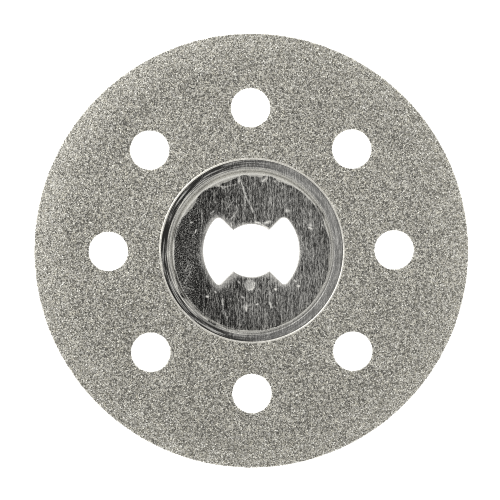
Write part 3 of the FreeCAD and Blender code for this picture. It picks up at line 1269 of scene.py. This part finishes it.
# %% [markdown]
# The nickel that holds the grit is matt and darker between the crystals, because light has to
# find its way in and out again. Its tone changes from pit to pit, which a cell pattern gives: each
# cell is one pit, with a grey of its own and its middle sunk. On the bead nothing breaks the
# nickel up, and it is bright.

# %% Nickel
pit_size = 0.07 * MM
pit_depth = 0.02 * MM
bead_soft = 0.02 * MM
dark_nickel = (0.15, 0.146, 0.13, 1)
pale_nickel = (0.76, 0.74, 0.67, 1)
tarnished_nickel = (0.6, 0.58, 0.5, 1)
bead_colour = (0.98, 0.96, 0.89, 1)
pit_tones = (0.15, 0.85)
tarnish_scale = 0.5 / MM
tarnish_share = 0.12
pit_roughness = (0.55, 0.4)
bead_polish = -0.1


def on_bead(tree, place):
    """1 on the bead and 0 past it. Its end is a circle about the mask in front and the axis behind."""
    height = node(tree, "ShaderNodeSeparateXYZ", {"Vector": place}).outputs["Z"]
    behind = between(tree, height, ring_underside, ring_top, 1.0, 0.0)
    to_mask = axis_distance(tree, place, (*mask_middle, 0.0))
    past_front = sum_of(tree, "SUBTRACT", to_mask, front_bead[-1][0] - mask_inset)
    past_back = sum_of(tree, "SUBTRACT", axis_distance(tree, place), back_bead[-1][0])
    return between(tree, mixed(tree, behind, past_front, past_back), -bead_soft, bead_soft, 1.0, 0.0)


def nickel_finish():
    """Plated nickel: grey and rough between the crystals, bright on the bead round the hub."""
    material, tree, shader = new_finish("plated_nickel")
    place = node(tree, "ShaderNodeTexCoord").outputs["Object"]
    pits = node(tree, "ShaderNodeTexVoronoi", {"Vector": place, "Scale": 1 / pit_size, "Randomness": 1.0})
    grain = node(tree, "ShaderNodeSeparateColor", {"Color": pits.outputs["Color"]}).outputs[0]
    drift = noise(tree, place, tarnish_scale, 3.0)
    bead = on_bead(tree, place)
    matt = blend(tree, between(tree, grain, *pit_tones), dark_nickel, pale_nickel)
    matt = blend(tree, sum_of(tree, "MULTIPLY", drift, tarnish_share), matt, tarnished_nickel)
    colour = blend(tree, bead, matt, bead_colour)
    rough = sum_of(tree, "MULTIPLY_ADD", bead, bead_polish, mixed(tree, grain, *pit_roughness))
    hollow = sum_of(tree, "MULTIPLY", pits.outputs["Distance"], sum_of(tree, "SUBTRACT", 1.0, bead))
    bump = node(tree, "ShaderNodeBump", {"Height": hollow, "Strength": 1.0, "Distance": -pit_depth})
    feed(tree, shader, Base_Color=colour, Roughness=rough, Normal=bump.outputs[0], Metallic=1.0)
    return material


nickel_bond.data.materials.append(nickel_finish())
print("a pit is", pit_size / MM, "mm wide")

# %% [markdown]
# No two crystals are the same colour: most are smoky grey or straw, some are nearly clear and
# some are dark, and nickel covers a part of each. Every crystal carries one random number, its
# shade, and a colour ramp turns that number into a colour. One number for a whole crystal keeps
# its faces alike, so the eye reads it as one grain.

# %% Diamond
crystal_shades = (
    (0.0, (0.07, 0.067, 0.06)),
    (0.2, (0.17, 0.165, 0.14)),
    (0.36, (0.37, 0.355, 0.295)),
    (0.5, (0.54, 0.53, 0.51)),
    (0.66, (0.74, 0.71, 0.60)),
    (0.82, (0.83, 0.82, 0.745)),
    (1.0, (0.87, 0.86, 0.8)),
)
crystal_roughness = (0.6, 0.38)
crystal_metallic = 0.35
crystal_ior = 2.0


def diamond_finish():
    """Diamond crystals, smoky to clear, each in its own shade, slightly rougher where it is dark."""
    material, tree, shader = new_finish("diamond_crystals")
    shade = node(tree, "ShaderNodeAttribute", attribute_name="shade").outputs["Fac"]
    ramp = node(tree, "ShaderNodeValToRGB", {"Fac": shade})
    steps = ramp.color_ramp.elements
    while len(steps) < len(crystal_shades):
        steps.new(0.5)
    for step, (at, colour) in zip(steps, crystal_shades):
        step.position = at
        step.color = (*colour, 1)
    rough = between(tree, shade, 0.0, 1.0, *crystal_roughness)
    feed(tree, shader, Base_Color=ramp.outputs[0], Roughness=rough)
    feed(tree, shader, Metallic=crystal_metallic, IOR=crystal_ior)
    return material


diamond = diamond_finish()
for piece in grit:
    piece.data.materials.append(diamond)
print(len(crystal_shades), "shades on", len(grit), "pieces of grit")

# %% [markdown]
# The disc lies on a light table: a white floor that glows a little, so that it is white under
# the holes as well and no shadow lies round the disc. A plain white floor would do for most
# things, but through a hole in a thin disc it would show the disc's own shadow.

# %% The floor
floor_gap = 0.02 * MM
floor_half = 0.6
floor_colour = (0.8, 0.8, 0.8, 1)
floor_roughness = 0.9
floor_glow = 0.9


def floor_object():
    """A large white square just under the disc."""
    corners = floor_half * np.array([(-1, -1, 0), (1, -1, 0), (1, 1, 0), (-1, 1, 0)]) - (0, 0, floor_gap)
    floor = bpy.data.objects.new("light_table", mesh_of("light_table", corners, np.array([(0, 1, 2, 3)])))
    bpy.context.scene.collection.objects.link(floor)
    material, tree, shader = new_finish("light_table")
    feed(tree, shader, Base_Color=floor_colour, Roughness=floor_roughness)
    feed(tree, shader, Emission_Color=(1, 1, 1, 1), Emission_Strength=floor_glow)
    floor.data.materials.append(material)
    return floor


floor_object()
print("the floor is", 2 * floor_half, "m wide")

# %% [markdown]
# The light is a tent, soft and white on all sides, with a dark patch overhead where the camera
# looks in. Bare steel mirrors that patch, which is why the hub is dark while the rough grit, which
# gathers light from everywhere, is not. The tent is darker near the table, so that the steel keeps
# its tone in a low view too. Two soft lamps add what the tent can't: a key from the upper left,
# and a panel over the right side of the hub.
# The picture is rendered without denoising and with a narrow pixel filter, because denoising and
# a wide filter would smear the grains, which are about two pixels wide.

# %% The light
patch_direction = (-0.10, 0.04, 1.0)
patch_edge = (math.cos(math.radians(53)), math.cos(math.radians(25)))
tent_colour = (1.0, 0.995, 0.98, 1)
tent_strength = 1.25
patch_strength = 0.05
end_glow = 0.45
skirt_edge = (math.sin(math.radians(8)), math.sin(math.radians(50)))
skirt_share = 0.3
picture_filter = 1.1


def light_tent():
    """A white sky with a dark patch: bright where the angle from the patch's middle is wide.

    The two ends along Y glow more than the sides, by 1 + end_glow * y^2, and the skirt near the
    table is darker.
    """
    world = bpy.data.worlds.new("light_tent")
    world.use_nodes = True
    tree = world.node_tree
    tree.nodes.clear()
    way = node(tree, "ShaderNodeTexCoord").outputs["Generated"]
    length = math.hypot(*patch_direction)
    middle = tuple(part / length for part in patch_direction)
    facing = node(tree, "ShaderNodeVectorMath", {0: way, 1: middle}, operation="DOT_PRODUCT")
    strength = between(tree, facing.outputs["Value"], *patch_edge, tent_strength, patch_strength)
    _, depth, rise = node(tree, "ShaderNodeSeparateXYZ", {"Vector": way}).outputs
    ends = sum_of(tree, "MULTIPLY_ADD", sum_of(tree, "MULTIPLY", depth, depth), end_glow, 1.0)
    strength = sum_of(tree, "MULTIPLY", strength, ends)
    strength = sum_of(tree, "MULTIPLY", strength, between(tree, rise, *skirt_edge, skirt_share, 1.0))
    sky = node(tree, "ShaderNodeBackground", {"Color": tent_colour, "Strength": strength})
    node(tree, "ShaderNodeOutputWorld", {"Surface": sky.outputs[0]})
    bpy.context.scene.world = world


def soft_lamp(name, place, target, size, power):
    """A square lamp at a place, turned to face a target."""
    data = bpy.data.lights.new(name, "AREA")
    data.shape = "SQUARE"
    data.size = size
    data.energy = power
    lamp = bpy.data.objects.new(name, data)
    direction = np.array(target) - np.array(place)
    lamp.location = place
    pitch = math.acos(-direction[2] / np.linalg.norm(direction))
    lamp.rotation_euler = (pitch, 0.0, math.atan2(direction[1], direction[0]) - math.pi / 2)
    lamp.visible_camera = False
    bpy.context.scene.collection.objects.link(lamp)


light_tent()
soft_lamp("east_panel", place=(0.016, 0.0, 0.022), target=(0.016, 0.0, 0.0), size=0.03, power=0.0007)
soft_lamp("key_lamp", place=(-0.065, 0.043, 0.05), target=(0.0, 0.0, 0.0), size=0.1, power=0.052)
bpy.context.scene.view_settings.view_transform = "Standard"
bpy.context.scene.cycles.use_denoising = False
bpy.context.scene.cycles.filter_width = picture_filter
print("lit")
